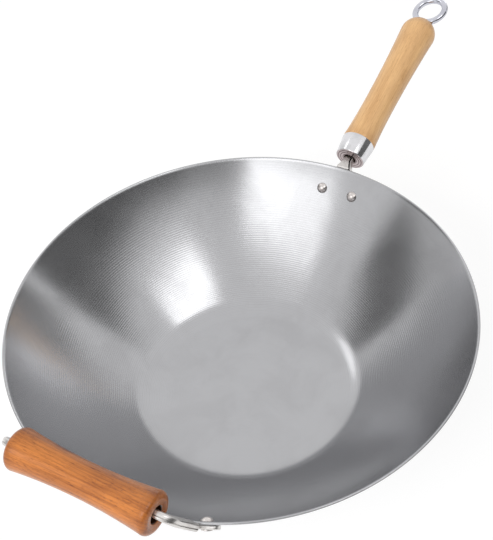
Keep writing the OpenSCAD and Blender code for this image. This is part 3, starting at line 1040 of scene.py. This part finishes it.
def make_stem(steel):
    """Folded stem that spreads to the wall, and its foot plate that follows the wall."""
    on_axis = in_mm(HANDLE)
    near_face = HALF_SHEET + SEAT_GAP
    far_face = HALF_SHEET + STEM_CLAMP

    def to_wall(y, z):
        """How far back along the handle a line at (y, z) meets the wall; mm."""
        low, high = -40.0, 0.0
        for _ in range(40):
            x = (low + high) / 2
            p = HANDLE @ Vector((x * MM, y * MM, z * MM)) / MM
            far = math.hypot(math.hypot(p.x, p.y) - WALL_C[0], p.z - WALL_C[1])
            low, high = (x, high) if far < WALL_R + near_face else (low, x)
        return high

    def section(w, h, up):
        """Folded section whose open seam lies on the upper face, beside the -y edge."""
        sheet, corner, inner_corner = 1.0, 1.0, 0.15
        seam = (w / 2 - 2.45, w / 2 - 1.15)
        folded = folded_section(h, w, sheet, corner, seam, inner_corner)
        return [(-y, x + up) for x, y in folded]

    # From the wall the stem narrows to its size at the ferrule, where it is straight.
    root_w, root_h, root_up, root_x = 13.0, 10.6, -2.3, -10.5
    narrow_l = 6.5
    at_wall = section(13.4, 11.0, -2.6)
    rings = [[(to_wall(y, z), y, z) for y, z in at_wall]]
    for i in range(6):
        s = i / 5
        w = root_w - (root_w - STEM_W) * s
        h = root_h - (root_h - STEM_H) * s
        outline = section(w, h, root_up * (1 - s))
        rings.append([(root_x + narrow_l * s, y, z) for y, z in outline])
    rings += [[(x, y, z) for y, z in section(STEM_W, STEM_H, 0)] for x in (0.0, STEM_IN)]
    tube = swept([[on_axis @ Vector(p) for p in ring] for ring in rings])

    # The foot is a plate with round corners, laid on the wall's curve.
    plate = []
    straight_w = STEM_FOOT_W / 2 - STEM_FOOT_CORNER
    straight_h = STEM_FOOT_H / 2 - STEM_FOOT_CORNER
    for i in range(41):
        v = -STEM_FOOT_W / 2 + STEM_FOOT_W * i / 40
        over = max(abs(v) - straight_w, 0)
        half = straight_h + math.sqrt(max(STEM_FOOT_CORNER**2 - over * over, 0.0))
        a = v / wall_at(STEM_FOOT_DROP)[1]
        ring = []
        for face, order in ((far_face, range(13)), (near_face, range(12, -1, -1))):
            for k in order:
                drop = STEM_FOOT_DROP - half + 2 * half * k / 12
                slope = math.radians(RIM_SLOPE - math.degrees(drop / WALL_R))
                r = WALL_C[0] + (WALL_R + face) * math.sin(slope)
                z = WALL_C[1] - (WALL_R + face) * math.cos(slope)
                ring.append(Vector((r * math.cos(a), r * math.sin(a), z)))
        plate.append(ring)
    foot = swept(plate)
    rim = [e for e in foot.edges if len(e.link_faces) == 2 and e.calc_face_angle(0) > 1.0]
    bmesh.ops.bevel(
        foot, geom=rim, offset=0.3 * MM, segments=2, profile=0.5, affect="EDGES", material=-1
    )
    piece("stem_and_foot", joined([tube, foot]), "wok", steel, ["handle_stem"], 38)


# ---------------------------------------------------------------- studio


# Places in metres and directions in degrees.
LOOK_AT = Vector((0, 0, 0.06))
LAMP_AWAY = 2.5
CARD_AWAY = 2.3
FLOOR_HALF = 6
FLOOR_DROP = 0.0004  # keeps the floor off the base's own face
CAMERA_AT = (-0.4240, -0.3150, 0.6905)
CAMERA_AZ, CAMERA_EL, CAMERA_ROLL = 215.435, 46.226, -7.645
CAMERA_LENS, CAMERA_SENSOR = 70, 36
WHITE = (1, 1, 1, 1)


def flat_square(name, size, scale=(1, 1, 1)):
    """One square face that reaches size out from its middle, before its scale."""
    bm = bmesh.new()
    bmesh.ops.create_grid(bm, x_segments=1, y_segments=1, size=size)
    bmesh.ops.scale(bm, vec=scale, verts=bm.verts)
    return new_object(name, mesh_from(name, bm))


def unlit_material(name):
    """A material without its Principled shader; returns it, its Tree and its surface."""
    material, t, shader = new_material(name)
    t.nodes.remove(shader)
    return material, t, t.nodes["Material Output"].inputs["Surface"]


def studio_floor():
    """White floor that keeps a soft shadow and is seen only from above."""
    floor = flat_square("floor", FLOOR_HALF)
    floor.location.z = -FLOOR_DROP
    material, t, surface = unlit_material("white_floor")
    matt = t.add("ShaderNodeBsdfDiffuse")
    matt.inputs["Color"].default_value = (0.82, 0.82, 0.82, 1)
    above = t.blend(t.times(t.seen(), 0.70), matt.outputs[0], t.glow(WHITE, 1.2))
    below = t.add("ShaderNodeBsdfTransparent").outputs[0]
    side = t.add("ShaderNodeNewGeometry").outputs["Backfacing"]
    t.put(surface, t.blend(side, above, below))
    floor.data.materials.append(material)


def studio_world():
    """White all round, plainer for the light that falls on the object."""
    lit, seen = 0.46, 1.0
    world = bpy.data.worlds.new("white_room")
    bpy.context.scene.world = world
    world.use_nodes = True
    t = Tree(world.node_tree)
    sky = t.nodes["Background"]
    sky.inputs["Color"].default_value = WHITE
    t.put(sky.inputs["Strength"], t.times_plus(t.seen(), seen - lit, lit))


def facing_wok(az, el, distance):
    """A place at a direction from the wok, turned to look at it."""
    back = direction(az, el)
    place = back.to_track_quat("Z", "Y").to_matrix().to_4x4()
    place.translation = LOOK_AT + back * distance
    return place


def softbox(name, az, el, width, height, brightness, mirrored=True):
    """An area lamp of a given brightness, where 1 is as bright as the white room.

    One that isn't mirrored lights the wok, but no shiny surface shows it.
    """
    lamp = bpy.data.lights.new(name, "AREA")
    lamp.shape = "RECTANGLE"
    lamp.size, lamp.size_y = width, height
    lamp.energy = brightness * math.pi * width * height
    made = new_object(name, lamp)
    made.matrix_world = facing_wok(az, el, LAMP_AWAY)
    made.visible_glossy = mirrored


def shade_card(name, az, el, width, height, grey):
    """A grey card that only shiny surfaces see."""
    card = flat_square(name, 0.5, (width, height, 1))
    card.matrix_world = facing_wok(az, el, CARD_AWAY)
    material, t, surface = unlit_material(name + "_grey")
    t.put(surface, t.glow((grey, grey, grey, 1)))
    card.data.materials.append(material)
    card.visible_camera = False
    card.visible_diffuse = False
    card.visible_shadow = False
    card.visible_transmission = False


def photo_camera():
    """The camera that the photo was taken with, as fitted to the rim's ellipse."""
    back = direction(CAMERA_AZ, CAMERA_EL)
    roll = math.radians(CAMERA_ROLL)
    right = (-back).cross(Vector((0, 0, 1))).normalized()
    up = right.cross(-back)
    across = right * math.cos(roll) + up * math.sin(roll)
    upright = up * math.cos(roll) - right * math.sin(roll)
    data = bpy.data.cameras.new("camera")
    data.lens = CAMERA_LENS
    data.sensor_fit = "VERTICAL"
    data.sensor_height = CAMERA_SENSOR
    data.clip_start, data.clip_end = 0.05, 50
    camera = new_object("camera", data)
    place = Matrix((across, upright, back)).transposed().to_4x4()
    place.translation = CAMERA_AT
    camera.matrix_world = place
    bpy.context.scene.camera = camera


# ---------------------------------------------------------------- the wok

strap_steel = plated(
    "plated_strap_steel",
    (0.74, 0.72, 0.70, 1),
    (0.58, 0.55, 0.53, 1),
    rough_low=0.24,
    rough_gain=0.12,
    size=3.0,
    bump=0.12,
)
rivet_steel = plated(
    "rivet_steel",
    (0.72, 0.68, 0.66, 1),
    (0.58, 0.53, 0.51, 1),
    rough_low=0.22,
    rough_gain=0.12,
    size=5.0,
    bump=0.15,
)
zinc_steel = plated(
    "zinc_barrel_steel",
    (0.60, 0.60, 0.62, 1),
    (0.46, 0.46, 0.48, 1),
    rough_low=0.30,
    rough_gain=0.10,
    size=5.0,
    bump=0.12,
)

make_bowl()
make_rivets(rivet_steel)
make_stem(strap_steel)
make_ferrule()
make_handle_grip()
make_loop()
make_strap(strap_steel)
make_helper_grip()

# The barrel is hidden in the wood, so the CAD node itself is shown.
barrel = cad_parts["stem_barrel"]
barrel.data.materials.clear()
barrel.data.materials.append(zinc_steel)

studio_floor()
studio_world()
softbox("key_softbox", -97, 56, 1.30, 0.64, 2.0)
softbox("side_softbox", 179, 39, 1.75, 0.84, 1.5)
softbox("side_fill", 168, 38, 1.50, 0.90, 5.6, mirrored=False)
softbox("back_softbox", 80, 43, 0.80, 0.60, 1.2)
softbox("low_front_softbox", 7, 11, 0.80, 0.36, 1.5)
for i, (az, grey) in enumerate(((-58, 0.16), (-86, 0.10), (-114, 0.10), (-142, 0.26))):
    shade_card(f"low_card_{i}", az, 14, 1.16, 1.86, grey)
shade_card("far_card", 110, 24, 1.30, 0.74, 0.16)
shade_card("low_back_card", 100, 8, 1.40, 0.32, 0.72)
shade_card("front_card", -25, 8, 1.00, 0.80, 0.22)
photo_camera()

bpy.context.scene.view_settings.view_transform = "Standard"
